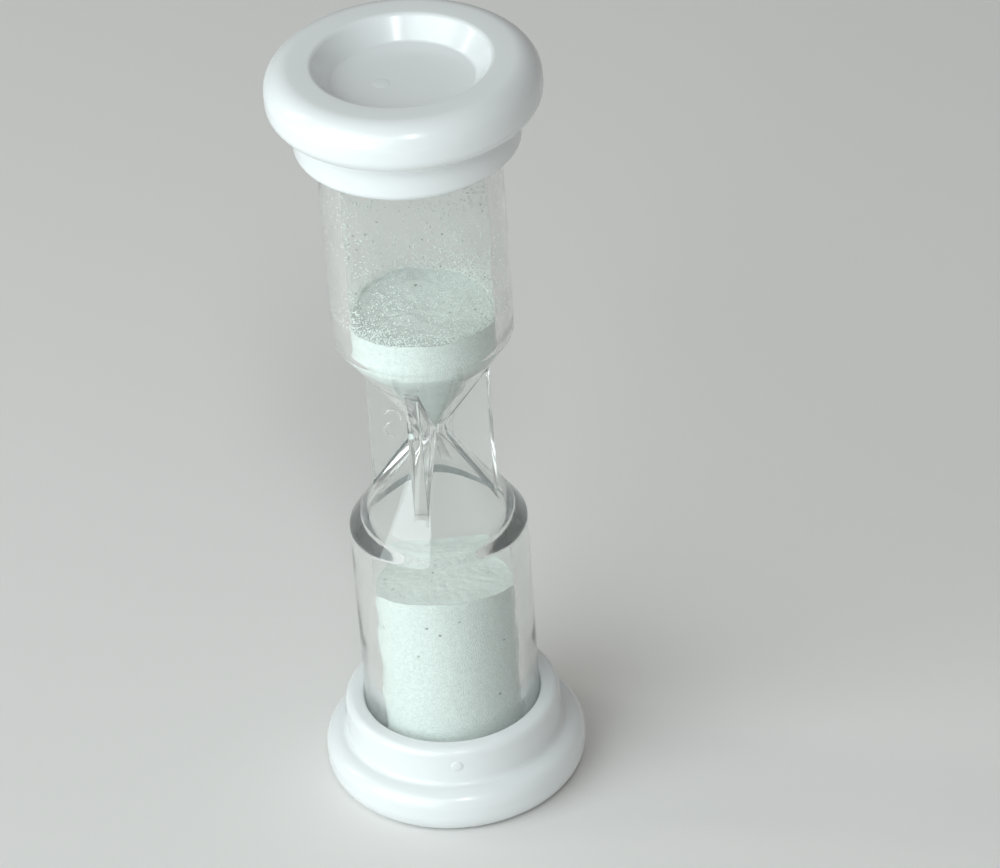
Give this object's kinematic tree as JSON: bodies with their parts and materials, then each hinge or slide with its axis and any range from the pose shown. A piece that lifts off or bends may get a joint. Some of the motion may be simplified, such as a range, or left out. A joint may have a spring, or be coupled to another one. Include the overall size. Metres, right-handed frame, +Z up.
{
  "type": "hourglass",
  "caption": "Small hourglass: clear double bulb with a webbed neck, pressed-on white end caps with dished faces, and white sand whose levels run up and down.",
  "frame": {"origin": "centre of the foot: bottom centre of the whole timer, on the plane it stands on", "axes": "+Z up along the axis of the timer, from the lower cap to the upper; two of the four webs lie along X and two along Y"},
  "size_m": [0.0286, 0.0286, 0.09],
  "materials": {
    "clear_plastic": "clear, polished, as moulded",
    "cap_plastic": "white, glossy, as moulded",
    "sand": "fine dry grains, white with a few dark ones"
  },
  "bodies": {
    "timer": {"clear_body": "clear_plastic", "upper_cap": "cap_plastic", "lower_cap": "cap_plastic", "upper_sand_funnel": "sand", "upper_sand_column": "sand", "lower_sand_column": "sand"},
    "upper_level": {"upper_sand_surface": "sand"},
    "lower_level": {"lower_sand_heap": "sand"}
  },
  "joints": [
    {"name": "upper_sand_level", "type": "slide", "parent": "timer", "child": "upper_level", "axis": [0, 0, 1], "range_m": [0, 0.017], "deforming": ["upper_sand_column"]},
    {"name": "lower_sand_level", "type": "slide", "parent": "timer", "child": "lower_level", "axis": [0, 0, 1], "range_m": [-0.017, 0], "deforming": ["lower_sand_column"]}
  ],
  "couplings": [
    {"joint": "lower_sand_level", "follows": "upper_sand_level", "ratio": -1}
  ]
}
